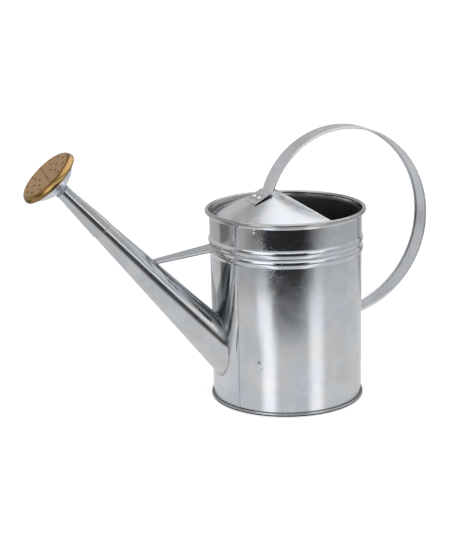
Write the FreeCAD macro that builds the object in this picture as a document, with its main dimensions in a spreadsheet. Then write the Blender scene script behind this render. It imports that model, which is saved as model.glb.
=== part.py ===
import FreeCAD, Part
import Sketcher
import math
import os
import re

# Galvanised watering can, nominal 9 litres, in millimetres.
# +Z is up, the spout points along -X and the handle stands on +X.
# The origin is the centre of the base, on the surface the can stands on.

SIZES = {
    # Body of the can
    "sheet": 0.9,               # thickness of the galvanised sheet
    "wall_foot_radius": 104.0,  # outer radius of the wall at the base
    "wall_top_radius": 105.0,   # outer radius of the wall under the rim
    "wall_foot_z": 2.1,
    "wall_top_z": 259.0,
    "seam_proud": 0.35,         # how far the folded side seam stands out
    "seam_angle": 2.5,          # angle that the side seam takes up, degrees
    "seam_azimuth": 206.0,      # direction of the side seam, degrees from +X
    "bead_low_z": 212.2,        # crests of the two stiffening beads
    "bead_high_z": 225.0,
    "bead_half": 5.9,
    "bead_proud": 2.0,
    "rim_radius": 108.1,        # centre circle of the rolled rim
    "rim_z": 265.2,
    "rim_roll": 2.9,
    "rim_bore": 2.0,
    "wire_radius": 1.95,        # wire inside the rolled rim
    # Base
    "pan_z": 6.2,               # underside of the recessed bottom
    "foot_radius": 106.4,       # outer radius of the seam that the can stands on
    "foot_rise": 5.4,
    # Cover over the spout half of the mouth
    "cover_tip_x": -19.4,
    "cover_tip_z": 296.0,
    "cover_low_z": 251.0,       # height of its edge on the spout side
    "cover_corner_x": 21.3,
    "cover_corner_z": 265.0,
    "cover_radius": 103.9,
    "cover_hem": 1.4,
    # Spout: a long cone and a slimmer tip sleeve that laps over it
    "spout_rise": 47.9,         # angle of the spout above the horizontal
    "tip_x": -315.2,
    "tip_z": 320.9,
    "spout_length": 358.0,
    "spout_foot_radius": 31.8,
    "sleeve_length": 75.0,
    "sleeve_lap": 6.0,
    "sleeve_straight": 12.0,
    "tip_radius": 9.9,
    "lap_radius": 14.6,
    "lap_gap": 0.12,
    "spout_sheet": 0.8,
    "solder_width": 1.5,
    "solder_rise": 0.9,
    # Brace between the spout and the wall
    "brace_x": -101.5,
    "brace_z": 223.8,
    "brace_tilt": 6.7,
    "brace_length": 92.0,
    "brace_root": 17.0,         # half widths at the wall and at the spout
    "brace_end": 8.2,
    "brace_hem": 1.6,
    # Handle strap
    "strap_width": 32.0,
    "strap_sheet": 1.0,
    "strap_hem": 1.5,
    "grip_x": 76.9,             # centre of the large arc at the back
    "grip_z": 239.5,
    "grip_radius": 135.4,
    "grip_split": 60.0,         # where the back arc meets the front arc, degrees
    "front_radius": 118.5,
    "strap_bend": 4.0,
    "strap_over_cover": 1.0,
    "plate_length": 28.0,       # flat end of the strap on the cover
    "plate_width": 35.0,
    "strap_off_wall": 1.7,
    "low_bend": 10.0,
    "low_foot": 25.0,
    # Rivets
    "rivet_shank": 1.8,
    "rivet_head": 3.3,
    "rivet_dome": 1.7,
    "rivet_pitch": 15.5,
    "rivet_gap": 0.1,
    "cover_rivet_x": -42.0,
    "low_rivet_z": 88.5,
    # Rose, measured along the spout from the end of its tip
    "neck_radius": 8.2,
    "neck_wall": 0.8,
    "neck_in": 13.0,
    "neck_out": 8.0,
    "seal_bore": 8.25,
    "seal_radius": 9.04,
    "seal_in": 10.0,
    "seal_flange": 9.9,
    "seal_start": 0.3,
    "seal_end": 3.6,
    "back_start": 3.9,
    "back_throat": 10.2,
    "back_radius": 38.9,
    "back_end": 24.7,
    "back_lip": 40.0,
    "face_z": 31.5,
    "face_flat": 35.6,
    "face_radius": 42.4,
    "face_skirt_z": 24.95,
    "hole_radius": 1.55,
    "hole_turn": -7.0,          # direction of the first hole of each ring, degrees
    "ring_inner": 9.5,
    "ring_middle": 19.8,
    "ring_outer": 31.6,
}
RING_COUNTS = {"ring_inner": 4, "ring_middle": 8, "ring_outer": 12}

DOC = FreeCAD.newDocument("watering_can")
SHEET = DOC.addObject("Spreadsheet::Sheet", "Sizes")
NODES = []


def fill_sheet():
    """Write every driving size into the spreadsheet under its own alias."""
    for row, (alias, number) in enumerate(SIZES.items(), start=1):
        SHEET.set("A%d" % row, alias)
        SHEET.set("B%d" % row, str(number))
        SHEET.setAlias("B%d" % row, alias)
    DOC.recompute()


def bind(formula):
    """Turn a formula in aliases into one that reads the spreadsheet."""
    return re.sub(r"[a-z_]{2,}\b(?!\()", lambda word: "Sizes." + word.group(), formula)


def worth(formula):
    """Value of a formula in aliases, in millimetres or degrees."""
    return float(SHEET.evalExpression(bind(formula)))


def drive(item, **formulas):
    """Bind properties of a document object to formulas in aliases."""
    for name, formula in formulas.items():
        item.setExpression(name, bind(formula))


def place(item, x="0", y="0", z="0", turn=None, axis=(0, 0, 1)):
    """Bind an object's position and, when given, its rotation about one axis."""
    angle = worth(turn) if turn else 0
    rotation = FreeCAD.Rotation(FreeCAD.Vector(*axis), angle)
    item.Placement = FreeCAD.Placement(FreeCAD.Vector(worth(x), worth(y), worth(z)), rotation)
    item.setExpression("Placement.Base.x", bind(x))
    item.setExpression("Placement.Base.y", bind(y))
    item.setExpression("Placement.Base.z", bind(z))
    if turn:
        item.setExpression("Placement.Rotation.Angle", bind(turn))
    return item


def on_spout(item):
    """Stand an object on the end of the spout tip, its +Z along the spout."""
    return place(item, "tip_x", "0", "tip_z", "spout_rise - 90", (0, 1, 0))


def node(item, label):
    """Give a finished sub-part its name and list it for export."""
    item.Label = label
    NODES.append(item)
    return item


def new_sketch(body, role, name):
    """Sketch attached to one of the body's own origin planes."""
    sketch = body.newObject("Sketcher::SketchObject", name)
    plane = [face for face in body.Origin.OriginFeatures if face.Role == role][0]
    sketch.AttachmentSupport = [(plane, "")]
    sketch.MapMode = "FlatFace"
    return sketch


def pin_point(sketch, geometry, end, x, y):
    """Hold one point of the sketch at coordinates given as formulas."""
    for kind, formula in (("DistanceX", x), ("DistanceY", y)):
        rule = Sketcher.Constraint(kind, -1, 1, geometry, end, worth(formula))
        index = sketch.addConstraint(rule)
        sketch.setExpression("Constraints[%d]" % index, bind(formula))


def draw(sketch, corners):
    """Draw a closed outline: (x, y) ends a line, (x, y, via_x, via_y) ends an arc."""
    spots = [FreeCAD.Vector(worth(corner[0]), worth(corner[1]), 0) for corner in corners]
    for index, corner in enumerate(corners):
        start = spots[index - 1]
        finish = spots[index]
        if len(corner) == 2:
            number = sketch.addGeometry(Part.LineSegment(start, finish))
        else:
            middle = FreeCAD.Vector(worth(corner[2]), worth(corner[3]), 0)
            ends = [start, finish]
            if (middle - start).cross(finish - middle).z < 0:
                ends.reverse()
            number = sketch.addGeometry(Part.Arc(ends[0], middle, ends[1]))
        forward = sketch.Geometry[number].StartPoint.distanceToPoint(start) < 1e-6
        before = corners[index - 1]
        pin_point(sketch, number, 1 if forward else 2, before[0], before[1])
        pin_point(sketch, number, 2 if forward else 1, corner[0], corner[1])
        if len(corner) == 4:
            guide = sketch.addGeometry(Part.Point(middle), True)
            pin_point(sketch, guide, 1, corner[2], corner[3])
            sketch.addConstraint(Sketcher.Constraint("PointOnObject", guide, 1, number))


def turn_outline(body, name, corners, angle=None):
    """Revolve an outline in the body's XZ plane about its Z axis."""
    sketch = new_sketch(body, "XZ_Plane", name + "_outline")
    draw(sketch, corners)
    turned = body.newObject("PartDesign::Revolution", name)
    turned.Profile = sketch
    turned.ReferenceAxis = (sketch, ["V_Axis"])
    if angle:
        turned.Midplane = True
        turned.setExpression("Angle", bind(angle))
    body.Tip = turned
    return turned


def turned_body(name, corners):
    """Body made of one outline revolved through a full turn."""
    body = DOC.addObject("PartDesign::Body", name)
    turn_outline(body, name + "_turn", corners)
    return body


def cut(name, base, tool):
    result = DOC.addObject("Part::Cut", name)
    result.Base = base
    result.Tool = tool
    return result


def common(name, base, tool):
    result = DOC.addObject("Part::Common", name)
    result.Base = base
    result.Tool = tool
    return result


def fuse(name, items):
    result = DOC.addObject("Part::MultiFuse", name)
    result.Shapes = items
    return result


def cylinder(name, radius, height):
    result = DOC.addObject("Part::Cylinder", name)
    drive(result, Radius=radius, Height=height)
    return result


def solder_between(name, grown, host, grown_host, piece):
    """Solder: what a grown piece shares with its host's skin, clear of both."""
    skin = cut(name + "_skin", grown_host, host)
    band = common(name + "_band", grown, skin)
    return cut(name, band, piece)


# Wall ----------------------------------------------------------------------

def wall_radius(height):
    """Formula for the outer radius of the slightly tapering wall."""
    taper = "(wall_top_radius - wall_foot_radius) / wall_top_z"
    return "wall_foot_radius + (%s) * %s" % (height, taper)


def wall_side(offset, start="wall_foot_z"):
    """Outline corners up the side of the wall, over both beads, moved outwards."""
    corners = [(wall_radius(start) + offset, start)]
    for crest in ("bead_low_z", "bead_high_z"):
        below = "%s - bead_half" % crest
        above = "%s + bead_half" % crest
        corners.append((wall_radius(below) + offset, below))
        corners.append((wall_radius(above) + offset, above,
                        wall_radius(crest) + " + bead_proud" + offset, crest))
    corners.append(("wall_top_radius" + offset, "wall_top_z"))
    return corners


def back_down(corners):
    """The same side walked from top to bottom, for the inner face."""
    reverse = [corners[-1][:2]]
    for index in range(len(corners) - 1, 0, -1):
        reverse.append(corners[index - 1][:2] + corners[index][2:])
    return reverse


def make_can_volume(name, offset):
    """Solid with the outer shape of the wall, for trimming what meets it."""
    side = wall_side(offset)
    return turned_body(name, [("0", "wall_foot_z")] + side + [("0", "wall_top_z")])


def make_body_shell(spout_way):
    """Wall with beads, rolled rim and folded side seam, open into the spout."""
    wall = DOC.addObject("PartDesign::Body", "wall")
    outer = wall_side("")
    inner = back_down(wall_side(" - sheet"))
    lip_out = ("rim_radius - rim_roll + 1.1", "rim_z - 1.2")
    lip_in = ("rim_radius - rim_roll + 0.2", "rim_z - 0.6")
    turn_outline(wall, "wall_sheet", outer + [lip_out, lip_in] + inner)
    roll_outline = new_sketch(wall, "XZ_Plane", "rim_outline")
    for radius in ("rim_roll", "rim_bore"):
        centre = FreeCAD.Vector(worth("rim_radius"), worth("rim_z"), 0)
        circle = Part.Circle(centre, FreeCAD.Vector(0, 0, 1), worth(radius))
        number = roll_outline.addGeometry(circle)
        pin_point(roll_outline, number, 3, "rim_radius", "rim_z")
        rule = Sketcher.Constraint("Radius", number, worth(radius))
        index = roll_outline.addConstraint(rule)
        roll_outline.setExpression("Constraints[%d]" % index, bind(radius))
    roll = wall.newObject("PartDesign::Revolution", "rim")
    roll.Profile = roll_outline
    roll.ReferenceAxis = (roll_outline, ["V_Axis"])
    above_foot = "foot_rise + 0.3"
    seam_out = wall_side(" + seam_proud", above_foot)
    seam_in = back_down(wall_side(" - sheet / 2", above_foot))
    turn_outline(wall, "side_seam", seam_out + seam_in, "seam_angle")
    place(wall, turn="seam_azimuth")
    return node(cut("shell", wall, spout_way), "body_shell")


def make_rim_wire():
    wire = DOC.addObject("Part::Torus", "wire")
    drive(wire, Radius1="rim_radius", Radius2="wire_radius")
    return node(place(wire, z="rim_z"), "rim_wire")


def make_base():
    """Recessed bottom whose edge wraps the foot of the wall, and its inner solder."""
    corners = [
        ("0", "pan_z"),
        ("wall_foot_radius - sheet - 2", "pan_z"),
        ("wall_foot_radius - sheet - 1", "pan_z - 1"),
        ("wall_foot_radius - sheet - 1", "1.1"),
        ("wall_foot_radius - sheet + 0.2", "0", "wall_foot_radius - sheet - 0.7", "0.3"),
        ("foot_radius - 2.2", "0"),
        ("foot_radius", "foot_rise / 2", "foot_radius - 0.6", "0.7"),
        ("foot_radius - 1.4", "foot_rise", "foot_radius - 0.4", "foot_rise - 1"),
        ("wall_foot_radius + 0.08", "foot_rise"),
        ("wall_foot_radius + 0.08", "wall_foot_z - 0.1"),
        ("wall_foot_radius - sheet - 0.05", "wall_foot_z - 0.1"),
        ("wall_foot_radius - sheet - 0.05", "pan_z + sheet"),
        ("0", "pan_z + sheet"),
    ]
    node(turned_body("pan", corners), "base_pan")
    ring = [
        ("wall_foot_radius - sheet - 2.6", "pan_z + sheet + 0.02"),
        ("wall_foot_radius - sheet - 0.05", "pan_z + sheet + 0.02"),
        ("wall_foot_radius - sheet - 0.05", "pan_z + sheet + 2.6"),
    ]
    node(turned_body("pan_solder", ring), "base_solder")


# Cover ---------------------------------------------------------------------

def cover_cone(lift):
    """Solid cone from the cover's tip to a tilted circle on the wall, moved up."""
    reach = worth("cover_radius") + 3
    slope = (worth("cover_corner_z - cover_low_z")
             / worth("cover_corner_x + cover_radius"))
    middle_z = worth("cover_low_z") + slope * worth("cover_radius") + lift
    tilt = math.atan(slope)
    long_way = FreeCAD.Vector(math.cos(tilt), 0, math.sin(tilt))
    ellipse = Part.Ellipse(
        FreeCAD.Vector(0, 0, middle_z) + long_way * (reach / math.cos(tilt)),
        FreeCAD.Vector(0, reach, middle_z),
        FreeCAD.Vector(0, 0, middle_z))
    tip = FreeCAD.Vector(worth("cover_tip_x"), 0, worth("cover_tip_z") + lift)
    rim = Part.Wire([ellipse.toShape()])
    return Part.makeLoft([Part.Vertex(tip), rim], True, True)


def cover_corner(side):
    """Where a straight edge of the cover meets the rim."""
    x = worth("cover_corner_x")
    y = math.sqrt(worth("cover_radius") ** 2 - x ** 2)
    return FreeCAD.Vector(x, side * y, worth("cover_corner_z"))


def cover_wedge():
    """Upright prism over the open part of the mouth, behind the cover."""
    tip = FreeCAD.Vector(worth("cover_tip_x"), 0, 0)
    corners = [tip]
    for side in (-1, 1):
        corner = cover_corner(side)
        corner.z = 0
        corners.append(tip + (corner - tip) * 6)
    outline = Part.makePolygon([corners[1], corners[0], corners[2], corners[1]])
    return Part.Face(outline).extrude(FreeCAD.Vector(0, 0, 400))


def cover_sheet(bottom, top):
    """Layer of the cover between two heights measured straight up."""
    layer = cover_cone(top).cut(cover_cone(bottom)).cut(cover_wedge())
    inside = Part.makeCylinder(worth("cover_radius"), 400)
    return layer.common(inside)


def feature(name, shape):
    """Document object that holds a shape made with Part's own functions."""
    item = DOC.addObject("Part::Feature", name)
    item.Shape = shape
    item.Placement = FreeCAD.Placement()
    return item


def make_cover(rivet_holes):
    """Half-cone hood with rolled edges, and the solder along the wall."""
    drop = worth("sheet") * 1.12
    shape = cover_sheet(-drop, 0)
    tip = FreeCAD.Vector(worth("cover_tip_x"), 0, worth("cover_tip_z") - drop / 2)
    inside = Part.makeCylinder(worth("cover_radius"), 400)
    for side in (-1, 1):
        corner = cover_corner(side)
        corner.z -= drop / 2
        run = corner - tip
        roll = Part.makeCylinder(worth("cover_hem"), run.Length + 5, tip, run)
        shape = shape.fuse(roll.common(inside))
    shape = shape.fuse(Part.makeSphere(worth("cover_hem"), tip)).removeSplitter()
    hood = feature("hood_sheet", shape)
    node(cut("hood", hood, rivet_holes), "cover_hood")
    bead = cover_sheet(0.03, worth("solder_rise"))
    outer = Part.makeCylinder(worth("cover_radius"), 400)
    inner = Part.makeCylinder(worth("cover_radius - solder_width"), 400)
    bead = bead.common(outer.cut(inner))
    node(cut("hood_solder", feature("hood_bead", bead), hood), "cover_solder")


# Spout ---------------------------------------------------------------------

def cone_radius(depth):
    """Formula for the long cone's outer radius at a depth below the tip."""
    lap = "(lap_radius - spout_sheet - lap_gap)"
    run = "(spout_length - sleeve_length)"
    return "%s + (%s - sleeve_length) * (spout_foot_radius - %s) / %s" % (lap, depth, lap, run)


def cone_layer(name, inner, outer, top):
    """Layer of the long cone between two offsets from its outer face."""
    foot = cone_radius("spout_length")
    head = cone_radius(top)
    corners = [
        (foot + inner, "-spout_length"),
        (foot + outer, "-spout_length"),
        (head + outer, "-(%s)" % top),
        (head + inner, "-(%s)" % top),
    ]
    return on_spout(turned_body(name, corners))


def make_spout_way():
    """Round opening through the wall into the spout."""
    tool = DOC.addObject("Part::Cone", "spout_way")
    depth = "spout_length - 60"
    drive(tool, Radius1="spout_foot_radius - 2.2", Radius2=cone_radius(depth) + " - 2.2", Height="60")
    lean = "cos(spout_rise)"
    rise = "sin(spout_rise)"
    x = "tip_x + spout_length * %s" % lean
    z = "tip_z - spout_length * %s" % rise
    return place(tool, x, "0", z, "spout_rise - 90", (0, 1, 0))


def make_spout(can, grown_can):
    """Long cone trimmed to the wall, its tip sleeve, and their solder."""
    blank = cone_layer("cone_blank", " - spout_sheet", "", "sleeve_length - sleeve_lap")
    node(cut("cone", blank, can), "spout_cone")
    grown = cone_layer("cone_grown", " + 0.02", " + solder_width", "sleeve_length + 40")
    skin = cut("cone_skin", grown_can, can)
    node(common("cone_solder", grown, skin), "spout_solder")
    sleeve = [
        ("lap_radius - spout_sheet", "-sleeve_length"),
        ("lap_radius", "-sleeve_length"),
        ("tip_radius", "-sleeve_straight"),
        ("tip_radius", "0"),
        ("tip_radius - spout_sheet", "0"),
        ("tip_radius - spout_sheet", "-sleeve_straight"),
    ]
    node(on_spout(turned_body("sleeve", sleeve)), "spout_sleeve")
    lap = cone_radius("sleeve_length")
    ring = [
        (lap + " + 0.03", "-sleeve_length - 0.03"),
        (cone_radius("sleeve_length + solder_width") + " + 0.03", "-sleeve_length - solder_width"),
        ("lap_radius - 0.1", "-sleeve_length - 0.03"),
    ]
    node(on_spout(turned_body("lap_ring", ring)), "sleeve_solder")


# Brace ---------------------------------------------------------------------

def brace_blank(name, grow):
    """Tapered flat strut with rolled long edges, lying back from the wall."""
    root = "brace_root + " + grow
    end = "brace_end + " + grow
    body = DOC.addObject("PartDesign::Body", name + "_plate")
    sketch = new_sketch(body, "XY_Plane", name + "_outline")
    draw(sketch, [
        ("0", "-(%s)" % root),
        ("0", root),
        ("-brace_length", end),
        ("-brace_length", "-(%s)" % end),
    ])
    pad = body.newObject("PartDesign::Pad", name + "_pad")
    pad.Profile = sketch
    pad.Midplane = True
    pad.setExpression("Length", bind("strap_sheet + 2 * " + grow))
    place(body, "brace_x", "0", "brace_z", "-brace_tilt", (0, 1, 0))
    pieces = [body]
    lean = "atan((brace_root - brace_end) / brace_length)"
    for side, sign in (("left", "1"), ("right", "-1")):
        roll = cylinder(name + "_" + side, "brace_hem + " + grow, "brace_length + 0.4")
        half = math.radians(worth("brace_tilt"))
        down = FreeCAD.Vector(-math.cos(half), 0, -math.sin(half))
        taper = worth(lean)
        across = FreeCAD.Vector(0, -float(sign), 0)
        run = down * math.cos(math.radians(taper)) + across * math.sin(math.radians(taper))
        spin = FreeCAD.Rotation(FreeCAD.Vector(0, 0, 1), run)
        sink = worth("brace_hem - strap_sheet / 2")
        foot = FreeCAD.Vector(worth("brace_x"), float(sign) * worth("brace_root"),
                              worth("brace_z") - sink)
        roll.Placement = FreeCAD.Placement(foot, spin)
        pieces.append(roll)
    return fuse(name, pieces)


def make_brace(can, grown_can):
    """Strut soldered to the wall at the beads and to the top of the spout."""
    cone = cone_layer("cone_core", " * 0", " + 0.05", "sleeve_length + 40")
    grown_cone = cone_layer("cone_core_grown", " * 0", " + solder_rise", "sleeve_length + 40")
    hosts = fuse("brace_hosts", [can, cone])
    grown_hosts = fuse("brace_hosts_grown", [grown_can, grown_cone])
    strut = cut("strut", brace_blank("brace", "0"), hosts)
    node(strut, "brace_strut")
    grown = brace_blank("brace_grown", "1.0")
    node(solder_between("strut_solder", grown, hosts, grown_hosts, strut), "brace_solder")


# Handle --------------------------------------------------------------------

def polar(centre, radius, degrees):
    """Point of the symmetry plane at an angle from a centre."""
    angle = math.radians(degrees)
    return centre + FreeCAD.Vector(math.cos(angle), 0, math.sin(angle)) * radius


def arc_edge(centre, radius, start, finish):
    """Arc in the symmetry plane between two angles, in degrees."""
    middle = (start + finish) / 2
    spots = [polar(centre, radius, angle) for angle in (start, middle, finish)]
    return Part.Arc(*spots).toShape()


def cover_slope():
    """Angle by which the cover falls towards the spout, in degrees."""
    fall = worth("cover_tip_z - cover_low_z")
    return math.degrees(math.atan(fall / worth("cover_tip_x + cover_radius")))


def cover_point(x):
    """Point on the cover's top face in the symmetry plane."""
    fall = (worth("cover_tip_x") - x) * math.tan(math.radians(cover_slope()))
    return FreeCAD.Vector(x, 0, worth("cover_tip_z") - fall)


def handle_path():
    """Centre line: foot on the cover, front arc, back arc, foot on the wall."""
    grip = FreeCAD.Vector(worth("grip_x"), 0, worth("grip_z"))
    step = worth("grip_radius - front_radius")
    front = polar(grip, step, worth("grip_split"))
    slope = cover_slope()
    normal = polar(FreeCAD.Vector(), 1, 90 + slope)
    on_foot = cover_point(worth("cover_rivet_x")) + normal * worth("strap_over_cover")
    bend = worth("strap_bend")
    reach = worth("front_radius") + bend
    lift = (bend - (front - on_foot).dot(normal)) / reach
    meet = 90 + slope + math.degrees(math.acos(lift))
    bend_centre = polar(front, reach, meet)
    foot_top = bend_centre - normal * bend
    foot_end = foot_top + polar(FreeCAD.Vector(), worth("strap_sheet"), 180 + slope)
    low = worth("low_bend")
    foot_x = worth(wall_radius("low_rivet_z") + " + strap_off_wall")
    low_meet = -math.degrees(math.acos((foot_x + low - grip.x) / (worth("grip_radius") + low)))
    low_centre = polar(grip, worth("grip_radius") + low, low_meet)
    low_top = low_centre - FreeCAD.Vector(low, 0, 0)
    low_end = low_top - FreeCAD.Vector(0, 0, worth("low_foot"))
    return Part.Wire([
        Part.LineSegment(foot_end, foot_top).toShape(),
        arc_edge(bend_centre, bend, slope - 90, meet - 180),
        arc_edge(front, worth("front_radius"), meet, worth("grip_split")),
        arc_edge(grip, worth("grip_radius"), worth("grip_split"), low_meet),
        arc_edge(low_centre, low, low_meet + 180, 180),
        Part.LineSegment(low_top, low_end).toShape(),
    ])


def strap_section():
    """Strap section in its own XY plane: thin sheet with a roll along each edge."""
    half = worth("strap_sheet") / 2
    hem = worth("strap_hem")
    roll_x = worth("strap_width") / 2 - hem
    roll_y = half - hem
    inner_x = roll_x - math.sqrt(hem ** 2 - (roll_y + half) ** 2)
    outer = [FreeCAD.Vector(-roll_x, half, 0), FreeCAD.Vector(roll_x, half, 0)]
    inner = [FreeCAD.Vector(inner_x, -half, 0), FreeCAD.Vector(-inner_x, -half, 0)]
    turn = math.radians(-45)
    right = FreeCAD.Vector(roll_x + hem * math.cos(turn), roll_y + hem * math.sin(turn), 0)
    left = FreeCAD.Vector(-right.x, right.y, 0)
    return Part.Wire([
        Part.LineSegment(outer[0], outer[1]).toShape(),
        Part.Arc(outer[1], right, inner[0]).toShape(),
        Part.LineSegment(inner[0], inner[1]).toShape(),
        Part.Arc(inner[1], left, outer[0]).toShape(),
    ])


def foot_plate(start, along):
    """Flat end of the strap on the cover, wider because its edges aren't rolled."""
    length, width, sheet = (worth(name) for name in ("plate_length", "plate_width", "strap_sheet"))
    away = along * -1
    normal = polar(FreeCAD.Vector(), 1, 90 + cover_slope())
    spin = FreeCAD.Rotation(away, FreeCAD.Vector(0, -1, 0), normal, "ZXY")
    corner = start + along * sheet + FreeCAD.Vector(0, width / 2, 0) - normal * (sheet / 2)
    plate = Part.makeBox(length, width, sheet)
    plate.Placement = FreeCAD.Placement(corner, spin)
    return plate


def make_handle(holes):
    """Strap swept along its path, with its flat foot and its rivet holes."""
    path = handle_path()
    start = path.Edges[0].Vertexes[0].Point
    along = (path.Edges[0].Vertexes[1].Point - start).normalize()
    outward = FreeCAD.Vector(0, 1, 0).cross(along) * -1
    frame = FreeCAD.Rotation(FreeCAD.Vector(0, 1, 0), outward, along, "ZXY")
    section = strap_section()
    section.Placement = FreeCAD.Placement(start, frame)
    strap = path.makePipeShell([section], True, False).fuse(foot_plate(start, along))
    node(cut("strap", feature("strap_sweep", strap), holes), "handle_strap")


# Rivets --------------------------------------------------------------------

def paired(name, item):
    """The object and its mirror image in the symmetry plane."""
    twin = DOC.addObject("Part::Mirroring", name + "_twin")
    twin.Source = item
    twin.Normal = (0, 1, 0)
    pair = DOC.addObject("Part::Compound", name)
    pair.Links = [item, twin]
    return pair


def rivet_outline(under, over):
    """Rivet with a domed head above `over` and an upset tail below `under`."""
    ball = "(rivet_head^2 + rivet_dome^2) / (2 * rivet_dome)"
    reach = "rivet_head * 0.6"
    crown = "%s + rivet_dome - %s + sqrt((%s)^2 - (%s)^2)" % (over, ball, ball, reach)
    return [
        ("0", "%s - 1.2" % under),
        ("rivet_head - 1.2", "%s - 1.2" % under),
        ("rivet_head - 0.4", under),
        ("rivet_shank", under),
        ("rivet_shank", over),
        ("rivet_head", over),
        ("0", "%s + rivet_dome" % over, reach, crown),
    ]


def rivet_spots():
    """Placement keywords of the rivets on the cover and on the wall."""
    seat = cover_point(worth("cover_rivet_x"))
    wall = worth(wall_radius("low_rivet_z"))
    top = (FreeCAD.Vector(seat.x, worth("rivet_pitch") / 2, seat.z), -cover_slope())
    low = (FreeCAD.Vector(wall, worth("rivet_pitch") / 2, worth("low_rivet_z")), 90)
    return {"top": top, "low": low}


def make_rivets():
    """Both pairs of rivets, and the clearance holes that they need."""
    levels = {"top": ("-2.4", "strap_over_cover + strap_sheet / 2 + rivet_gap"),
              "low": ("-1.7", "strap_off_wall + strap_sheet / 2 + rivet_gap")}
    holes = {}
    for key, (spot, lean) in rivet_spots().items():
        seat = FreeCAD.Placement(spot, FreeCAD.Rotation(FreeCAD.Vector(0, 1, 0), lean))
        rivet = turned_body(key + "_rivet", rivet_outline(*levels[key]))
        rivet.Placement = seat
        label = "handle_top_rivets" if key == "top" else "handle_lower_rivets"
        node(paired(key + "_rivets", rivet), label)
        drill = cylinder(key + "_drill", "rivet_shank + rivet_gap", "20")
        drill.Placement = seat.multiply(FreeCAD.Placement(FreeCAD.Vector(0, 0, -10),
                                                          FreeCAD.Rotation()))
        holes[key] = paired(key + "_holes", drill)
    return holes


# Rose ----------------------------------------------------------------------

def make_rose_joint():
    """Rubber seal in the spout tip and the tube of the rose inside it."""
    seal = [
        ("seal_bore", "-seal_in"),
        ("seal_radius - 0.5", "-seal_in"),
        ("seal_radius", "-seal_in + 0.8"),
        ("seal_radius", "seal_start"),
        ("seal_flange", "seal_start"),
        ("seal_flange", "seal_end", "seal_flange + 0.5", "(seal_start + seal_end) / 2"),
        ("seal_bore", "seal_end"),
    ]
    node(on_spout(turned_body("seal", seal)), "rose_seal")
    neck = [
        ("neck_radius - neck_wall", "-neck_in"),
        ("neck_radius", "-neck_in"),
        ("neck_radius", "neck_out"),
        ("neck_radius - neck_wall", "neck_out"),
    ]
    node(on_spout(turned_body("neck", neck)), "rose_neck")
    ring = [
        ("neck_radius + 0.03", "back_start + neck_wall + 0.1"),
        ("back_throat - 0.3", "back_start + neck_wall + 0.1"),
        ("neck_radius + 0.03", "back_start + neck_wall + 2"),
    ]
    node(on_spout(turned_body("neck_ring", ring)), "rose_neck_solder")


def dome_height(reach, inset):
    """Formula for the dome's height at a distance from its axis; inset is its depth."""
    centre = ("(back_radius^2 - back_throat^2 + back_end^2 - back_start^2)"
              " / (2 * (back_end - back_start))")
    radius = "(sqrt(back_radius^2 + (back_end - %s)^2) - %s)" % (centre, inset)
    return "%s - sqrt(%s^2 - (%s)^2)" % (centre, radius, reach)


def make_rose_back():
    """Domed galvanised back, part of a sphere, with a flat lip."""
    half_way = "back_radius * 0.7"
    inner_end = "back_radius - 0.4"
    corners = [
        ("neck_radius + 0.03", "back_start"),
        ("back_throat", "back_start"),
        ("back_radius", "back_end", half_way, dome_height(half_way, "0")),
        ("back_lip", "back_end"),
        ("back_lip", "back_end + neck_wall"),
        (inner_end, "back_end + neck_wall"),
        (inner_end, dome_height(inner_end, "neck_wall")),
        ("back_throat", dome_height("back_throat", "neck_wall"),
         half_way, dome_height(half_way, "neck_wall")),
        ("neck_radius + 0.03", "back_start + neck_wall"),
    ]
    node(on_spout(turned_body("dome", corners)), "rose_back")


def hole_sketch(body, name, reach):
    """Sketch of one spray hole at a distance from the centre of the face."""
    sketch = new_sketch(body, "XY_Plane", name)
    across = reach + " * cos(hole_turn)"
    aside = reach + " * sin(hole_turn)"
    centre = FreeCAD.Vector(worth(across), worth(aside), 0)
    number = sketch.addGeometry(Part.Circle(centre, FreeCAD.Vector(0, 0, 1), worth("hole_radius")))
    pin_point(sketch, number, 3, across, aside)
    rule = Sketcher.Constraint("Radius", number, worth("hole_radius"))
    index = sketch.addConstraint(rule)
    sketch.setExpression("Constraints[%d]" % index, bind("hole_radius"))
    return sketch


def make_rose_face():
    """Brass face with a rounded shoulder and rings of spray holes."""
    body = turned_body("face", [
        ("0", "face_z - neck_wall"),
        ("face_flat - 0.2", "face_z - neck_wall"),
        ("face_radius - neck_wall", "face_skirt_z", "face_radius - 2.5", "face_z - 2.9"),
        ("face_radius", "face_skirt_z"),
        ("face_flat", "face_z", "face_radius - 1.9", "face_z - 2.4"),
        ("0", "face_z"),
    ])
    for ring in ["0"] + list(RING_COUNTS):
        name = "hole_centre" if ring == "0" else "hole_" + ring
        pocket = body.newObject("PartDesign::Pocket", name)
        pocket.Profile = hole_sketch(body, name + "_outline", ring)
        pocket.Type = "ThroughAll"
        pocket.Midplane = True
        body.Tip = pocket
        if ring == "0":
            continue
        DOC.recompute()
        pattern = body.newObject("PartDesign::PolarPattern", name + "s")
        pattern.Originals = [pocket]
        axis = [line for line in body.Origin.OriginFeatures if line.Role == "Z_Axis"][0]
        pattern.Axis = (axis, [""])
        pattern.Angle = 360
        pattern.Occurrences = RING_COUNTS[ring]
        body.Tip = pattern
    node(on_spout(body), "rose_face")


def make_rose_rim():
    """Rolled edge that clamps the face to the back."""
    corners = [
        ("back_lip + 0.05", "face_skirt_z - 0.05"),
        ("back_lip + 0.05", "face_skirt_z - 1.2"),
        ("face_radius + 0.1", "face_skirt_z - 1.0", "face_radius - 1", "face_skirt_z - 2.3"),
        ("face_radius + 0.1", "face_skirt_z - 0.05"),
    ]
    node(on_spout(turned_body("crimp", corners)), "rose_rim")


# Assembly ------------------------------------------------------------------

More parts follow.
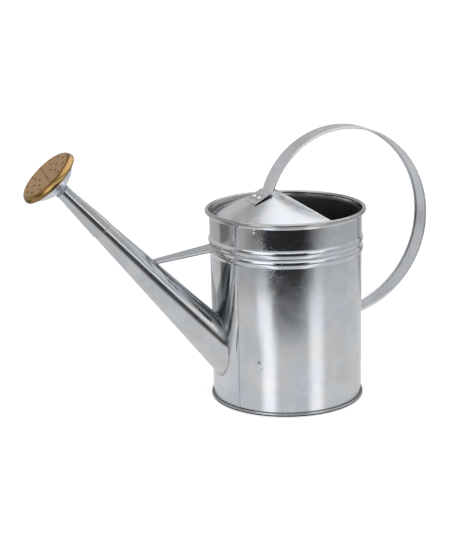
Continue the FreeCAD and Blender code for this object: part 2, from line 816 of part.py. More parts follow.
def check_and_export():
    """Stop on any failed object, then write each sub-part to its own file."""
    DOC.recompute()
    for item in DOC.Objects:
        if "Invalid" in item.State or "Error" in item.State:
            raise RuntimeError("%s failed: %s" % (item.Label, item.State))
    for item in NODES:
        if item.Shape.isNull() or not item.Shape.isValid():
            raise RuntimeError("%s has no valid shape" % item.Label)
    os.makedirs("parts", exist_ok=True)
    for item in NODES:
        solids = len(item.Shape.Solids)
        print("%-22s solids %d  volume %.1f" % (item.Label, solids, item.Shape.Volume))
        item.Shape.exportStep("parts/%s.step" % item.Label)


def build():
    fill_sheet()
    can = make_can_volume("can", " + 0.03")
    grown_can = make_can_volume("can_grown", " + solder_rise")
    holes = make_rivets()
    openings = fuse("wall_openings", [make_spout_way(), holes["low"]])
    make_body_shell(openings)
    make_rim_wire()
    make_base()
    make_cover(holes["top"])
    make_spout(can, grown_can)
    make_brace(can, grown_can)
    make_handle(fuse("strap_holes", [holes["top"], holes["low"]]))
    make_rose_joint()
    make_rose_back()
    make_rose_face()
    make_rose_rim()
    check_and_export()


build()
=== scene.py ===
import math

import bpy
from mathutils import Matrix, Vector

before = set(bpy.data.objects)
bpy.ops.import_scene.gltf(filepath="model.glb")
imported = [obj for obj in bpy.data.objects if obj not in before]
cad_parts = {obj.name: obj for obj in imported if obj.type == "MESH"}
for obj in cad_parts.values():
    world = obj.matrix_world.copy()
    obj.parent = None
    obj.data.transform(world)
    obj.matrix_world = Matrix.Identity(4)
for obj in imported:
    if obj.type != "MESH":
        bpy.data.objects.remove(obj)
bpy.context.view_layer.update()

# Lengths are in metres. The camera looks from the -Y side; its angles are in degrees.
CAMERA_DISTANCE = 2.0206
CAMERA_HEIGHT = 0.7194
CAMERA_AZIMUTH = 24.3
CAMERA_YAW = -2.40
CAMERA_PITCH = 15.015
CAMERA_ROLL = -1.246
CAMERA_LENS = 100.0
CAMERA_REACH = 60.0
SENSOR = 36.0
CAMERA_SIDE = math.radians(CAMERA_AZIMUTH)

# Plain stage. Each light is (place, size, power).
WORLD_STRENGTH = 1.05
FLOOR_SIZE = 14.0
FLOOR_HEIGHT = -0.001
FLOOR_GLOW = 0.56
LIGHT_TARGET = (0.0, 0.0, 0.15)
LIGHTS = {
    "key": ((-1.2, -1.6, 2.6), 2.0, 38.0),
    "fill": ((1.8, 0.6, 2.2), 2.5, 22.0),
}

# Light tent, seen only in reflections.
TENT_RADIUS = 1.25
TENT_HEIGHT = 1.1
TENT_PEAK = 1.45
TENT_TOP_HOLE = 0.001
TENT_GROUND = -0.0002
TENT_GROUND_INNER = 0.112
TENT_STRENGTH = 1.6
CONTACT_WIDTH = 0.012
CONTACT_LEVEL = 0.7
OVERHEAD_INNER = 0.64
OVERHEAD_OUTER = 0.80
OVERHEAD_LEVEL = 0.92

# Brightness of the table in four zones, outwards: a level, and soft-edged bars laid over it, each
# (middle, half width at full strength, half width in all, level). The bars are two bright stretches
# with a dark gap between them that widens outwards, and dull stretches on the spout's side. Their
# angles are in degrees, twice the angle round the can of the wall that reflects them.
GROUND_NEAR = (0.47, [(-27, 3, 17, 0.86), (46, 3, 18, 0.79)])
GROUND_MIDDLE = (0.45, [(-105, 9, 18, 0.16), (4, 8, 43, 0.12), (-33, 6, 16, 0.83), (46, 6, 16, 0.68)])
GROUND_OUTER = (0.42, [(-105, 9, 18, 0.10), (-66, 14, 30, 0.33), (2, 17, 52, 0.03),
                       (-37, 2, 14, 0.42), (51, 2, 12, 0.48)])
GROUND_FAR = (0.33, [(-105, 9, 18, 0.12), (-1, 25, 74, 0.015)])
# Brightness of the wall and the roof: (bearing from the camera side, to the right positive; level).
WALL = [(-180, 0.36), (-150, 0.42), (-84, 0.42), (-72, 0.10), (-52, 0.06), (-44, 1.0), (-20, 1.0),
        (-14, 0.03), (28, 0.03), (35, 0.75), (52, 0.75), (60, 0.30), (80, 0.42), (150, 0.42),
        (180, 0.36)]
WALL_HIGH = [(-180, 0.36), (-150, 0.42), (-90, 0.42), (-50, 0.85), (50, 0.85), (90, 0.42),
             (150, 0.42), (180, 0.36)]
ROOF = [(-180, 0.70), (-166, 0.36), (-150, 0.28), (-60, 0.34), (60, 0.40), (120, 0.80),
        (160, 1.0), (180, 0.80)]
# Farther zones: (where it starts, where it is full, its brightness), by reach and by height.
GROUND_ZONES = [(0.34, 0.60, GROUND_MIDDLE), (0.60, 0.76, GROUND_OUTER), (0.80, 1.00, GROUND_FAR)]
WALL_ZONES = [(0.08, 0.20, WALL), (0.55, 0.66, WALL_HIGH), (0.88, 1.10, ROOF)]

# Card wrapped round the spout: per line (ahead, aside, level) at its tip, middle and root.
SPOUT_CARD = (
    ((-0.020, 0.0500, 0.34), (0.035, 0.0212, 0.36), (0.045, 0.0460, 0.40)),
    ((0.010, 0.0500, 0.34), (0.035, 0.0210, 0.36), (0.040, 0.0540, 0.70)),
    ((0.025, 0.0160, 0.36), (0.035, 0.0208, 0.36), (0.045, 0.0440, 1.00)),
    ((0.025, 0.0156, 1.10), (0.035, 0.0205, 0.80), (0.045, 0.0390, 0.85)),
    ((0.025, 0.0112, 1.10), (0.035, 0.0152, 0.65), (0.045, 0.0300, 0.36)),
    ((0.025, 0.0108, 0.05), (0.035, 0.0136, 0.05), (0.045, 0.0200, 0.11)),
    ((0.025, -0.0045, 0.05), (0.035, 0.0015, 0.05), (0.045, 0.0125, 0.06)),
    ((0.025, -0.0140, 0.45), (0.035, -0.0070, 0.49), (0.045, 0.0072, 0.52)),
    ((0.022, -0.0300, 0.45), (0.031, -0.0400, 0.49), (0.040, -0.0500, 0.52)),
    ((-0.004, -0.0420, 0.45), (-0.007, -0.0510, 0.49), (-0.010, -0.0600, 0.52)),
    ((-0.030, -0.0300, 0.45), (-0.035, -0.0430, 0.49), (-0.040, -0.0560, 0.52)),
)
SPOUT_CARD_TILT = 0.122

# Places on the can. A spot or patch is a place with its sizes; wedge angles are in radians.
CAN_RADIUS = 0.105
RIM_UNDERSIDE = 0.2615
LIP_MIDDLE = 0.0040
LIP_FADE = 0.001
SPOUT_TIP = (-0.3152, 0.0, 0.3209)
SPOUT_AXIS = (-0.6704, 0.0, 0.7420)
SPOUT_LENGTH = 0.358
FACE_FLAT = 0.0360
WEDGE_LOW = 0.155
WEDGE_HIGH = 0.210
WEDGE_TOP_FADE = 0.003
WEDGE_FOOT_LOW = 0.105
WEDGE_FOOT_HIGH = 0.125
WEDGE_INNER_LOW = -0.05
WEDGE_INNER_HIGH = 0.24
WEDGE_INNER_FADE = 0.09
WEDGE_OUTER = 0.315
WEDGE_OUTER_FADE = 0.05
DARK_SPOTS = (((-0.0746, -0.0739, 0.0747), 0.0034), ((-0.0722, -0.0762, 0.0660), 0.0022))
WORN_PATCH = ((-0.0580, -0.0880, 0.2150), 0.012, 0.042)
WORN_ABOVE = (0.13, 0.20)
ZINC_DRIP = ((-0.0784, -0.0698, 0.2560), 0.0012, 0.0036)
DRIP_HEIGHT = 0.0016
TOP_RIVET = (-0.0425, 0.00775, 0.2857)
# Painted shade round the strap's top rivets: where it is full, and where it fades out.
RIVET_SHADE_REACH = (0.0040, 0.0095)

# Colours, and how strong each mark is.
STREAK_COOL = (0.965, 0.985, 1.01, 1.0)
STREAK_WARM = (1.0, 0.995, 0.985, 1.0)
STREAK_WEIGHT = 0.8
BLOOM_BLUE = (0.94, 0.99, 1.06, 1.0)
BLOOM_WARM = (1.02, 1.0, 0.975, 1.0)
# Painted reflection: the dark spout mirrored on the wall, laid into the colour as a dark wedge.
SPOUT_REFLECTION_TONE = (0.115, 0.135, 0.145, 1.0)
SPOUT_REFLECTION_WEIGHT = 0.8
SCRATCH_ROUGHNESS = 0.17
INSIDE_ROUGHNESS = 0.3
SCRATCH_LAYERS = ((95.0, 0.4), (140.0, 1.3), (60.0, 2.2))
FACE_DARK = (0.40, 0.228, 0.083, 1.0)
FACE_LIGHT = (0.52, 0.30, 0.115, 1.0)
RIM_DARK = (0.20, 0.13, 0.06, 1.0)
RIM_LIGHT = (0.32, 0.21, 0.10, 1.0)
BRASS_SPECK = (0.50, 0.45, 0.40, 1.0)
SHOULDER_BROWN = (0.24, 0.135, 0.048, 1.0)
SHOULDER_GOLD = (0.46, 0.29, 0.11, 1.0)
SHOULDER_POLISH = -0.12
# Painted shade in the rose's spray holes.
BORE_SHADE_DARK = (0.03, 0.018, 0.008, 1.0)
RUBBER_DARK = (0.17, 0.18, 0.22, 1.0)
RUBBER_LIGHT = (0.24, 0.255, 0.30, 1.0)
WHITE = (1.0, 1.0, 1.0, 1.0)


# Node helpers ----------------------------------------------------------------

class Graph:
    """Small helper around one node tree."""

    def __init__(self, tree):
        self.tree = tree
        self.tree.nodes.clear()

    def add(self, kind, **settings):
        item = self.tree.nodes.new(kind)
        for name, value in settings.items():
            setattr(item, name, value)
        return item

    def link(self, source, target):
        self.tree.links.new(source, target)

    def feed(self, socket, value):
        """Link a socket to an output, or set it to a constant."""
        if isinstance(value, bpy.types.NodeSocket):
            self.link(value, socket)
        else:
            socket.default_value = value

    def math(self, operation, first, second=0.0):
        item = self.add("ShaderNodeMath", operation=operation)
        self.feed(item.inputs[0], first)
        self.feed(item.inputs[1], second)
        return item.outputs[0]

    def times(self, first, second):
        return self.math("MULTIPLY", first, second)

    def wrap(self, value, low, high):
        item = self.add("ShaderNodeMath", operation="WRAP")
        self.feed(item.inputs[0], value)
        item.inputs[1].default_value = high
        item.inputs[2].default_value = low
        return item.outputs[0]

    def vector(self, operation, first, second=(0.0, 0.0, 0.0)):
        """Vector node: its number for a length, distance or dot product, else its vector."""
        item = self.add("ShaderNodeVectorMath", operation=operation)
        self.feed(item.inputs[0], first)
        self.feed(item.inputs[1], second)
        gives_number = operation in ("LENGTH", "DISTANCE", "DOT_PRODUCT")
        return item.outputs["Value" if gives_number else "Vector"]

    def parts(self, vector):
        """The X, Y and Z of a vector."""
        item = self.add("ShaderNodeSeparateXYZ")
        self.feed(item.inputs[0], vector)
        return item.outputs["X"], item.outputs["Y"], item.outputs["Z"]

    def facing(self):
        """The direction that the surface faces, in the object's own space."""
        return self.add("ShaderNodeTexCoord").outputs["Normal"]

    def noise(self, vector, scale, detail=3.0, roughness=0.55, distortion=0.0):
        item = self.add("ShaderNodeTexNoise")
        self.feed(item.inputs["Vector"], vector)
        item.inputs["Scale"].default_value = scale
        item.inputs["Detail"].default_value = detail
        item.inputs["Roughness"].default_value = roughness
        item.inputs["Distortion"].default_value = distortion
        return item.outputs["Fac"]

    def cells(self, vector, scale, feature="F1"):
        item = self.add("ShaderNodeTexVoronoi", feature=feature)
        self.feed(item.inputs["Vector"], vector)
        item.inputs["Scale"].default_value = scale
        return item

    def mapping(self, vector, name, value):
        """Vector with one setting of a Mapping node, such as its Scale or Rotation."""
        item = self.add("ShaderNodeMapping")
        self.feed(item.inputs["Vector"], vector)
        item.inputs[name].default_value = value
        return item.outputs["Vector"]

    def span(self, value, low, high, to_low=0.0, to_high=1.0, smooth=True):
        """Map a value from one range to another, held at both ends."""
        item = self.add("ShaderNodeMapRange", clamp=True)
        item.interpolation_type = "SMOOTHSTEP" if smooth else "LINEAR"
        self.feed(item.inputs["Value"], value)
        item.inputs["From Min"].default_value = low
        item.inputs["From Max"].default_value = high
        item.inputs["To Min"].default_value = to_low
        item.inputs["To Max"].default_value = to_high
        return item.outputs["Result"]

    def fade(self, value, inner, outer):
        """1 up to `inner`, falling to 0 at `outer`."""
        return self.span(value, inner, outer, 1.0, 0.0)

    def ramp(self, value, stops):
        item = self.add("ShaderNodeValToRGB")
        item.color_ramp.interpolation = "LINEAR"
        elements = item.color_ramp.elements
        while len(elements) < len(stops):
            elements.new(0.5)
        for element, (position, level) in zip(elements, stops):
            element.position = position
            element.color = grey(level)
        self.feed(item.inputs["Fac"], value)
        return item.outputs["Color"]

    def blend(self, factor, first, second, mode="MIX"):
        item = self.add("ShaderNodeMix", data_type="RGBA", blend_type=mode)
        self.feed(item.inputs["Factor"], factor)
        self.feed(item.inputs["A"], first)
        self.feed(item.inputs["B"], second)
        return item.outputs["Result"]

    def bump(self, height, strength, distance, normal=None):
        item = self.add("ShaderNodeBump")
        item.inputs["Strength"].default_value = strength
        item.inputs["Distance"].default_value = distance
        self.feed(item.inputs["Height"], height)
        if normal is not None:
            self.link(normal, item.inputs["Normal"])
        return item.outputs["Normal"]


def new_material(name):
    """New material with its graph, its shader and the place on the object."""
    material = bpy.data.materials.new(name)
    material.use_nodes = True
    graph = Graph(material.node_tree)
    shader = graph.add("ShaderNodeBsdfPrincipled")
    output = graph.add("ShaderNodeOutputMaterial")
    graph.link(shader.outputs["BSDF"], output.inputs["Surface"])
    place = graph.add("ShaderNodeTexCoord").outputs["Object"]
    return material, graph, shader, place


def grey(level, blue=0.0):
    return (level * (1 - blue * 0.5), level, level * (1 + blue), 1.0)


# Galvanised sheet ------------------------------------------------------------

def galvanised(name, level=0.66, rough=0.11, dents=0.25, grain_bump=0.05, marks=0.7, patches=0.7,
               finish=None, drip=False):
    """Hot-dip zinc sheet: clouded shine, faint drawn streaks, specks and soft dents."""
    material, graph, shader, place = new_material(name)
    cloud = graph.noise(place, 26.0, detail=5.0, roughness=0.62, distortion=0.7)
    grain = graph.noise(place, 520.0, detail=3.0, roughness=0.6)
    tone = zinc_tone(graph, place, cloud, level, marks, patches)
    roughness = graph.math("ADD", graph.span(cloud, 0.3, 0.75, rough - 0.03, rough + 0.09),
                           graph.span(grain, 0.3, 0.7, -0.03, 0.03))
    if finish:
        tone, roughness = finish(graph, place, level, tone, roughness)
    graph.link(tone, shader.inputs["Base Color"])
    graph.link(roughness, shader.inputs["Roughness"])
    shader.inputs["Metallic"].default_value = 1.0
    tall = graph.mapping(place, "Scale", (1.0, 1.0, 0.5))
    wave = graph.noise(tall, 17.0, detail=2.0, roughness=0.5)
    normal = graph.bump(wave, strength=dents, distance=0.0012)
    if drip:
        normal = graph.bump(near(graph, place, *ZINC_DRIP), 0.8, DRIP_HEIGHT, normal)
    normal = graph.bump(grain, grain_bump, 0.0001, normal)
    graph.link(normal, shader.inputs["Normal"])
    return material


def zinc_tone(graph, place, cloud, level, marks, patches):
    """Colour of the sheet: clouds, upright streaks, blue and warm patches, and specks."""
    tone = graph.blend(graph.span(cloud, 0.36, 0.68), grey(level * 0.94, 0.02),
                       grey(level * 1.05, 0.02))
    upright = graph.mapping(place, "Scale", (30.0, 30.0, 3.0))
    streak = graph.noise(upright, 3.0, detail=4.0, roughness=0.6)
    tint = graph.blend(graph.span(streak, 0.40, 0.62), STREAK_COOL, STREAK_WARM)
    tone = graph.blend(STREAK_WEIGHT, tone, tint, "MULTIPLY")
    bloom = graph.noise(place, 16.0, detail=4.0, roughness=0.6, distortion=0.4)
    hue = graph.blend(graph.span(bloom, 0.42, 0.60), BLOOM_BLUE, BLOOM_WARM)
    tone = graph.blend(patches, tone, hue, "MULTIPLY")
    return graph.blend(graph.times(specks(graph, place), marks), tone, grey(level * 0.25))


def specks(graph, place):
    """Sparse dark marks of uneven size."""
    cell = graph.cells(place, 52.0)
    size = graph.times(graph.span(cell.outputs["Color"], 0.93, 1.0), 0.09)
    spot = graph.math("LESS_THAN", cell.outputs["Distance"], size)
    ragged = graph.span(graph.noise(place, 700.0, detail=2.0, roughness=0.6), 0.42, 0.55)
    return graph.times(spot, ragged)


def near(graph, place, spot, inner, outer):
    """Mask of 1 within `inner` metres of a point, fading to 0 at `outer`."""
    return graph.fade(graph.vector("DISTANCE", place, spot), inner, outer)


def wall_finish(graph, place, level, tone, roughness):
    """The can's wall: scratches, a painted reflection of the spout as a dark wedge, dark spots, a
    dull inside darkened as painted shade, and a greyer rim.
    """
    inside, rim = wall_masks(graph, place)
    worn = graph.times(scratches(graph, place), SCRATCH_ROUGHNESS)
    roughness = graph.math("ADD", roughness, worn)
    roughness = graph.math("ADD", roughness, graph.times(inside, INSIDE_ROUGHNESS))
    # Painted shade: the inside's colour is darkened; its added roughness above is the duller zinc.
    tone = graph.blend(inside, tone, grey(level * 0.25))
    # Painted reflection of the spout: a dark wedge on both sides of its root.
    tone = graph.blend(graph.times(spout_reflection_wedge(graph, place), SPOUT_REFLECTION_WEIGHT), tone, SPOUT_REFLECTION_TONE)
    broken = graph.span(graph.noise(place, 420.0, detail=3.0, roughness=0.6), 0.40, 0.56)
    for spot, size in DARK_SPOTS:
        mark = graph.times(near(graph, place, spot, size * 0.4, size), broken)
        tone = graph.blend(mark, tone, grey(level * 0.12))
    return graph.blend(rim, tone, grey(level * 0.64)), roughness


def wall_masks(graph, place):
    """Masks of the wall's inner face, below the rolled rim, and of the rim itself."""
    x, y, z = graph.parts(place)
    look_x, look_y, _ = graph.parts(graph.facing())
    outward = graph.math("ADD", graph.times(x, look_x), graph.times(y, look_y))
    rim = graph.math("GREATER_THAN", z, RIM_UNDERSIDE)
    below = graph.math("SUBTRACT", 1.0, rim)
    return graph.times(graph.math("LESS_THAN", outward, 0.0), below), rim


def scratches(graph, place):
    """Patches of fine crossing scratches on the upper wall."""
    lines = 0.0
    for scale, turn in SCRATCH_LAYERS:
        turned = graph.mapping(place, "Rotation", (turn, turn * 0.7, turn))
        edge = graph.cells(turned, scale, "DISTANCE_TO_EDGE").outputs["Distance"]
        lines = graph.math("MAXIMUM", graph.fade(edge, 0.012, 0.03), lines)
    patch = graph.span(graph.noise(place, 24.0, detail=2.0, roughness=0.5), 0.46, 0.62)
    patch = graph.times(patch, graph.span(graph.parts(place)[2], *WORN_ABOVE))
    worn = graph.math("MAXIMUM", graph.times(patch, 0.5), near(graph, place, *WORN_PATCH))
    broken = graph.span(graph.noise(place, 260.0, detail=2.0, roughness=0.6), 0.42, 0.60)
    return graph.times(graph.times(lines, worn), broken)


def spout_reflection_wedge(graph, place):
    """Mask of the wedge of wall between the spout's root and the beads, darkened as a painted
    reflection of the spout.
    """
    x, y, z = graph.parts(place)
    angle = graph.math("ARCTAN2", graph.math("ABSOLUTE", y), graph.times(x, -1.0))
    edge = graph.span(z, WEDGE_LOW, WEDGE_HIGH, WEDGE_INNER_LOW, WEDGE_INNER_HIGH, smooth=False)
    inner = graph.span(graph.math("SUBTRACT", angle, edge), 0.0, WEDGE_INNER_FADE)
    outer = graph.fade(angle, WEDGE_OUTER, WEDGE_OUTER + WEDGE_OUTER_FADE)
    ends = graph.times(graph.span(z, WEDGE_FOOT_LOW, WEDGE_FOOT_HIGH),
                       graph.fade(z, WEDGE_HIGH, WEDGE_HIGH + WEDGE_TOP_FADE))
    return graph.times(graph.times(inner, outer), ends)


def dome_inside_painted_shade(graph, place, level, tone, roughness):
    """The rose's dome: its inside, where it faces out along the spout, darkened as painted shade."""
    outlook = graph.vector("DOT_PRODUCT", graph.facing(), SPOUT_AXIS)
    within = graph.math("GREATER_THAN", outlook, 0.05)
    # Painted shade inside the dome.
    return graph.blend(within, tone, grey(0.02)), roughness


def lip_painted_shade(graph, place, level, tone, roughness):
    """The base's folded lip: darkened above its middle as painted shade."""
    upper = graph.span(graph.parts(place)[2], LIP_MIDDLE, LIP_MIDDLE + LIP_FADE)
    # Painted shade on the lip's upper half.
    return graph.blend(upper, tone, grey(level * 0.2)), roughness


def rivet_painted_shade(graph, place, level, tone, roughness):
    """The strap: ragged painted shade round the two rivets of its upper foot."""
    ragged = graph.span(graph.noise(place, 300.0, detail=3.0, roughness=0.6), 0.40, 0.60, 0.25, 0.85)
    x, y, z = TOP_RIVET
    for side in (1, -1):
        # Painted shade: the foot plate darkened round each rivet.
        rivet_shade = graph.times(near(graph, place, (x, y * side, z), *RIVET_SHADE_REACH), ragged)
        tone = graph.blend(rivet_shade, tone, grey(level * 0.30))
    return tone, roughness


# Solder, brass and rubber ----------------------------------------------------

def solder(name):
    """Dull, lumpy soft solder."""
    material, graph, shader, place = new_material(name)
    lumps = graph.noise(place, 180.0, detail=4.0, roughness=0.6, distortion=0.5)
    tone = graph.blend(graph.span(lumps, 0.35, 0.7), grey(0.40, 0.02), grey(0.62, 0.02))
    graph.link(tone, shader.inputs["Base Color"])
    shader.inputs["Metallic"].default_value = 1.0
    graph.link(graph.span(lumps, 0.3, 0.7, 0.30, 0.5), shader.inputs["Roughness"])
    graph.link(graph.bump(lumps, strength=0.6, distance=0.0010), shader.inputs["Normal"])
    return material


def brass(name, low, high, rough, face=False):
    """Lacquered brass with fine mottling and darker specks."""
    material, graph, shader, place = new_material(name)
    mottle = graph.noise(place, 110.0, detail=5.0, roughness=0.65, distortion=0.6)
    tone = graph.blend(graph.span(mottle, 0.35, 0.68), low, high)
    speck = graph.span(graph.noise(place, 520.0, detail=2.0, roughness=0.5), 0.62, 0.74)
    speck_tone = tuple(part * share for part, share in zip(low, BRASS_SPECK))
    tone = graph.blend(graph.times(speck, 0.35), tone, speck_tone)
    roughness = graph.span(mottle, 0.3, 0.7, rough - 0.04, rough + 0.06)
    if face:
        shoulder, brim, bore_shade = face_masks(graph, place)
        tone = graph.blend(shoulder, tone, SHOULDER_BROWN)
        tone = graph.blend(brim, tone, SHOULDER_GOLD)
        # Painted shade on the walls of the spray holes.
        tone = graph.blend(bore_shade, tone, BORE_SHADE_DARK)
        roughness = graph.math("ADD", roughness, graph.times(shoulder, SHOULDER_POLISH))
    graph.link(tone, shader.inputs["Base Color"])
    shader.inputs["Metallic"].default_value = 1.0
    graph.link(roughness, shader.inputs["Roughness"])
    grain = graph.noise(place, 800.0, detail=3.0, roughness=0.6)
    graph.link(graph.bump(grain, strength=0.12, distance=0.0002), shader.inputs["Normal"])
    return material


def face_masks(graph, place):
    """Masks of the rose's rounded shoulder, its outer brim and the walls of its spray holes, which
    are darkened as painted shade.
    """
    from_tip = graph.vector("SUBTRACT", place, SPOUT_TIP)
    reach = graph.vector("LENGTH", graph.vector("CROSS_PRODUCT", from_tip, SPOUT_AXIS))
    outlook = graph.vector("DOT_PRODUCT", graph.facing(), SPOUT_AXIS)
    shoulder = graph.span(reach, FACE_FLAT, FACE_FLAT + 0.0024)
    brim = graph.span(reach, FACE_FLAT + 0.0030, FACE_FLAT + 0.0050)
    sideways = graph.math("LESS_THAN", graph.math("ABSOLUTE", outlook), 0.4)
    flat = graph.math("LESS_THAN", reach, FACE_FLAT)
    return shoulder, brim, graph.times(sideways, flat)


def rubber(name):
    """Blue-grey rubber with a fine moulded grain."""
    material, graph, shader, place = new_material(name)
    grain = graph.noise(place, 600.0, detail=3.0, roughness=0.6)
    graph.link(graph.blend(grain, RUBBER_DARK, RUBBER_LIGHT), shader.inputs["Base Color"])
    graph.link(graph.span(grain, 0.3, 0.7, 0.45, 0.65), shader.inputs["Roughness"])
    graph.link(graph.bump(grain, strength=0.2, distance=0.0002), shader.inputs["Normal"])
    return material


# Materials of the pieces -----------------------------------------------------

def make_materials():
    return {
        "body": galvanised("zinc_body", finish=wall_finish, drip=True),
        "strap": galvanised("zinc_strap", level=0.67, rough=0.22, dents=0.05, grain_bump=0.01,
                            marks=0.3, patches=0.25, finish=rivet_painted_shade),
        "brace": galvanised("zinc_brace", level=0.50, rough=0.20, dents=0.1),
        "dome": galvanised("zinc_dome", level=0.80, rough=0.30, dents=0.0, finish=dome_inside_painted_shade),
        "foot": galvanised("zinc_foot", level=0.60, rough=0.22, dents=0.1, finish=lip_painted_shade),
        "spout": galvanised("zinc_spout", level=0.61, rough=0.12, dents=0.12, grain_bump=0.02,
                            marks=0.4),
        "cover": galvanised("zinc_cover", level=0.66, rough=0.20, dents=0.2),
        "bright": galvanised("zinc_bright", level=0.78, rough=0.30, dents=0.1),
        "solder": solder("soft_solder"),
        "face": brass("brass_face", FACE_DARK, FACE_LIGHT, rough=0.34, face=True),
        "rim": brass("brass_rim", RIM_DARK, RIM_LIGHT, rough=0.26),
        "rubber": rubber("blue_rubber"),
    }


NODE_MATERIALS = {
    "body_shell": "body",
    "base_pan": "foot",
    "cover_hood": "cover",
    "spout_cone": "spout",
    "spout_sleeve": "spout",
    "brace_strut": "brace",
    "handle_strap": "strap",
    "handle_top_rivets": "bright",
    "handle_lower_rivets": "bright",
    "rim_wire": "strap",
    "rose_back": "dome",
    "rose_neck": "bright",
    "rose_face": "face",
    "rose_rim": "rim",
    "rose_seal": "rubber",
    "base_solder": "solder",
    "cover_solder": "solder",
    "spout_solder": "solder",
    "sleeve_solder": "solder",
    "brace_solder": "solder",
    "rose_neck_solder": "solder",
}
SMOOTH_ANGLE = math.radians(32)


def dress_nodes(materials):
    """Give every CAD node its material and smooth shading across soft edges."""
    for name, key in NODE_MATERIALS.items():
        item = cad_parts[name]
        item.data.materials.clear()
        item.data.materials.append(materials[key])
        item.data.shade_smooth()
        item.data.set_sharp_from_angle(angle=SMOOTH_ANGLE)


# Camera and world ------------------------------------------------------------

def put_in_scene(name, data):
    item = bpy.data.objects.new(name, data)
    bpy.context.scene.collection.objects.link(item)
    return item


def make_camera():
    data = bpy.data.cameras.new("camera")
    data.lens = CAMERA_LENS
    data.sensor_width = SENSOR
    data.clip_end = CAMERA_REACH
    camera = put_in_scene("camera", data)
    spot = Vector((-CAMERA_DISTANCE * math.sin(CAMERA_SIDE),
                   -CAMERA_DISTANCE * math.cos(CAMERA_SIDE), CAMERA_HEIGHT))
    heading = math.radians(CAMERA_AZIMUTH + CAMERA_YAW)
    aim = (Matrix.Rotation(-heading, 4, "Z")
           @ Matrix.Rotation(math.radians(90 - CAMERA_PITCH), 4, "X")
           @ Matrix.Rotation(math.radians(CAMERA_ROLL), 4, "Z"))
    camera.matrix_world = Matrix.Translation(spot) @ aim
    bpy.context.scene.camera = camera


def make_world():
    """White backdrop for the camera and even light for dull surfaces."""
    world = bpy.data.worlds.new("studio")
    world.use_nodes = True
    bpy.context.scene.world = world
    world.cycles_visibility.glossy = False
    graph = Graph(world.node_tree)
    back = graph.add("ShaderNodeBackground")
    back.inputs["Color"].default_value = WHITE
    back.inputs["Strength"].default_value = WORLD_STRENGTH
    output = graph.add("ShaderNodeOutputWorld")
    graph.link(back.outputs["Background"], output.inputs["Surface"])


# Light tent and card ---------------------------------------------------------

def tent_graph(name):
    """New emission material and its place inputs: bearing in degrees, reach and height."""
    material = bpy.data.materials.new(name)
    material.use_nodes = True
    graph = Graph(material.node_tree)
    x, y, height = graph.parts(graph.add("ShaderNodeTexCoord").outputs["Object"])
    bearing = graph.math("ARCTAN2", x, graph.times(y, -1.0))
    bearing = graph.wrap(graph.math("ADD", bearing, CAMERA_SIDE), -math.pi, math.pi)
    bearing = graph.times(bearing, math.degrees(1))
    square = graph.math("ADD", graph.math("POWER", x, 2.0), graph.math("POWER", y, 2.0))
    return material, graph, bearing, graph.math("SQRT", square), height


def glow(graph, level):
    """Finish a stage material as plain emission."""
    lamp = graph.add("ShaderNodeEmission")
    graph.feed(lamp.inputs["Color"], level)
    lamp.inputs["Strength"].default_value = TENT_STRENGTH
    output = graph.add("ShaderNodeOutputMaterial")
    graph.link(lamp.outputs[0], output.inputs["Surface"])


def bars(graph, bearing, brightness):
    """A level with soft-edged bars laid over it."""
    base, overlays = brightness
    total = grey(base)
    for middle, full, whole, level in overlays:
        away = graph.math("ABSOLUTE", graph.math("SUBTRACT", bearing, middle))
        total = graph.blend(graph.fade(away, full, whole), total, grey(level))
    return total


def stops(graph, bearing, brightness):
    """Levels at bearings all the way round, with straight changes between them."""
    share = graph.math("ADD", graph.math("DIVIDE", bearing, 360.0), 0.5)
    return graph.ramp(share, [(place / 360.0 + 0.5, level) for place, level in brightness])


def zoned(graph, bearing, distance, first, zones, draw):
    """Brightness that starts as `first` and changes with reach or height."""
    total = first
    for start, full, brightness in zones:
        total = graph.blend(graph.span(distance, start, full), total,
                            draw(graph, bearing, brightness))
    return total


def mirrored(graph, bearing, reach):
    """Twice the angle of the wall point that mirrors this spot of the table."""
    closeness = graph.math("DIVIDE", CAN_RADIUS, reach)
    gain = graph.math("DIVIDE", 2.0, graph.math("SUBTRACT", 2.0, closeness))
    return graph.times(bearing, gain)


def ground_material():
    """Table: even near the can, dark farther out on the camera's side."""
    material, graph, bearing, reach, _ = tent_graph("tent_ground")
    doubled = mirrored(graph, bearing, reach)
    near_can = bars(graph, doubled, GROUND_NEAR)
    table = zoned(graph, doubled, reach, near_can, GROUND_ZONES, bars)
    contact = graph.span(reach, TENT_GROUND_INNER, TENT_GROUND_INNER + CONTACT_WIDTH,
                         CONTACT_LEVEL, 1.0)
    glow(graph, graph.blend(contact, grey(0.0), table))
    return material


def wall_material():
    """Walls as dark as the far table at the bottom, with two bright windows, and a roof."""
    material, graph, bearing, reach, height = tent_graph("tent_wall")
    foot = bars(graph, bearing, GROUND_FAR)
    walls = zoned(graph, bearing, height, foot, WALL_ZONES, stops)
    overhead = graph.fade(reach, OVERHEAD_INNER, OVERHEAD_OUTER)
    glow(graph, graph.blend(overhead, walls, grey(OVERHEAD_LEVEL)))
    return material


def card_material():
    """Emission with the levels stored at the corners of the card."""
    material = bpy.data.materials.new("spout_card")
    material.use_nodes = True
    graph = Graph(material.node_tree)
    stored = graph.add("ShaderNodeAttribute", attribute_name="level")
    glow(graph, stored.outputs["Fac"])
    return material


def show_only_in_gloss(item):
    item.visible_camera = False
    item.visible_diffuse = False
    item.visible_shadow = False
    item.visible_transmission = False
    item.visible_volume_scatter = False


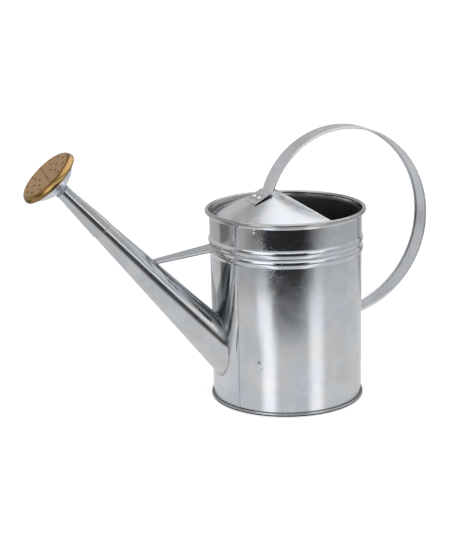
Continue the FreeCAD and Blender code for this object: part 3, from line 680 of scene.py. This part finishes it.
def ring_mesh(name, rings, segments=96):
    """Surface of revolution through (radius, height) rings."""
    verts = []
    for radius, height in rings:
        for step in range(segments):
            angle = 2 * math.pi * step / segments
            verts.append((radius * math.cos(angle), radius * math.sin(angle), height))
    faces = []
    for low in range(0, segments * (len(rings) - 1), segments):
        high = low + segments
        for step in range(segments):
            after = (step + 1) % segments
            faces.append((low + step, low + after, high + after, high + step))
    mesh = bpy.data.meshes.new(name)
    mesh.from_pydata(verts, [], faces)
    return mesh


def make_tent():
    """Reflection tent: a ground ring, and a wall that closes in a roof."""
    ground = ring_mesh("tent_ground", [(TENT_GROUND_INNER, TENT_GROUND), (TENT_RADIUS, TENT_GROUND)])
    ground.materials.append(ground_material())
    wall = ring_mesh("tent_wall", [(TENT_RADIUS, FLOOR_HEIGHT), (TENT_RADIUS, TENT_HEIGHT),
                                   (TENT_TOP_HOLE, TENT_PEAK)])
    wall.materials.append(wall_material())
    for mesh in (ground, wall):
        show_only_in_gloss(put_in_scene(mesh.name, mesh))


def make_spout_card():
    """Card wrapped loosely round the camera's side of the spout, as seen in its shine."""
    tip = Vector(SPOUT_TIP)
    axis = Vector(SPOUT_AXIS)
    upward = Vector((SPOUT_AXIS[2], 0.0, -SPOUT_AXIS[0]))
    front = (Vector((0.0, -1.0, 0.0)) - upward * SPOUT_CARD_TILT).normalized()
    side = (upward + front * SPOUT_CARD_TILT).normalized()
    verts = []
    levels = []
    for line in SPOUT_CARD:
        for step, (ahead, aside, level) in enumerate(line):
            verts.append(tip - axis * (SPOUT_LENGTH * step / 2) + front * ahead + side * aside)
            levels.append(level)
    faces = []
    for start in range(0, len(verts) - 3, 3):
        for corner in (start, start + 1):
            faces.append((corner, corner + 1, corner + 4, corner + 3))
    mesh = bpy.data.meshes.new("spout_card")
    mesh.from_pydata(verts, [], faces)
    mesh.attributes.new("level", "FLOAT", "POINT").data.foreach_set("value", levels)
    mesh.materials.append(card_material())
    show_only_in_gloss(put_in_scene("spout_card", mesh))


# Floor and lights ------------------------------------------------------------

def floor_material():
    """Pale, glowing a little, so that only a faint shadow shows."""
    material, graph, shader, place = new_material("pale_floor")
    speckle = graph.noise(place, 40.0, detail=3.0, roughness=0.5)
    graph.link(graph.blend(speckle, grey(0.48), grey(0.50)), shader.inputs["Base Color"])
    shader.inputs["Roughness"].default_value = 0.9
    shader.inputs["Specular IOR Level"].default_value = 0.0
    shader.inputs["Emission Color"].default_value = WHITE
    shader.inputs["Emission Strength"].default_value = FLOOR_GLOW
    return material


def make_floor():
    half = FLOOR_SIZE / 2
    corners = [(x, y, FLOOR_HEIGHT) for x, y in ((-half, -half), (half, -half), (half, half),
                                                 (-half, half))]
    mesh = bpy.data.meshes.new("floor")
    mesh.from_pydata(corners, [], [(0, 1, 2, 3)])
    mesh.materials.append(floor_material())
    floor = put_in_scene("floor", mesh)
    floor.visible_glossy = False


def make_lights():
    """Large soft key from above and a weak fill, neither seen in reflections."""
    for name, (place, size, power) in LIGHTS.items():
        data = bpy.data.lights.new(name, "AREA")
        data.size = size
        data.energy = power
        lamp = put_in_scene(name, data)
        away = Vector(place) - Vector(LIGHT_TARGET)
        turn = away.to_track_quat("Z", "Y").to_matrix().to_4x4()
        lamp.matrix_world = Matrix.Translation(place) @ turn
        lamp.visible_glossy = False


bpy.context.scene.view_settings.view_transform = "Standard"
make_camera()
make_world()
make_tent()
make_spout_card()
make_floor()
make_lights()
dress_nodes(make_materials())
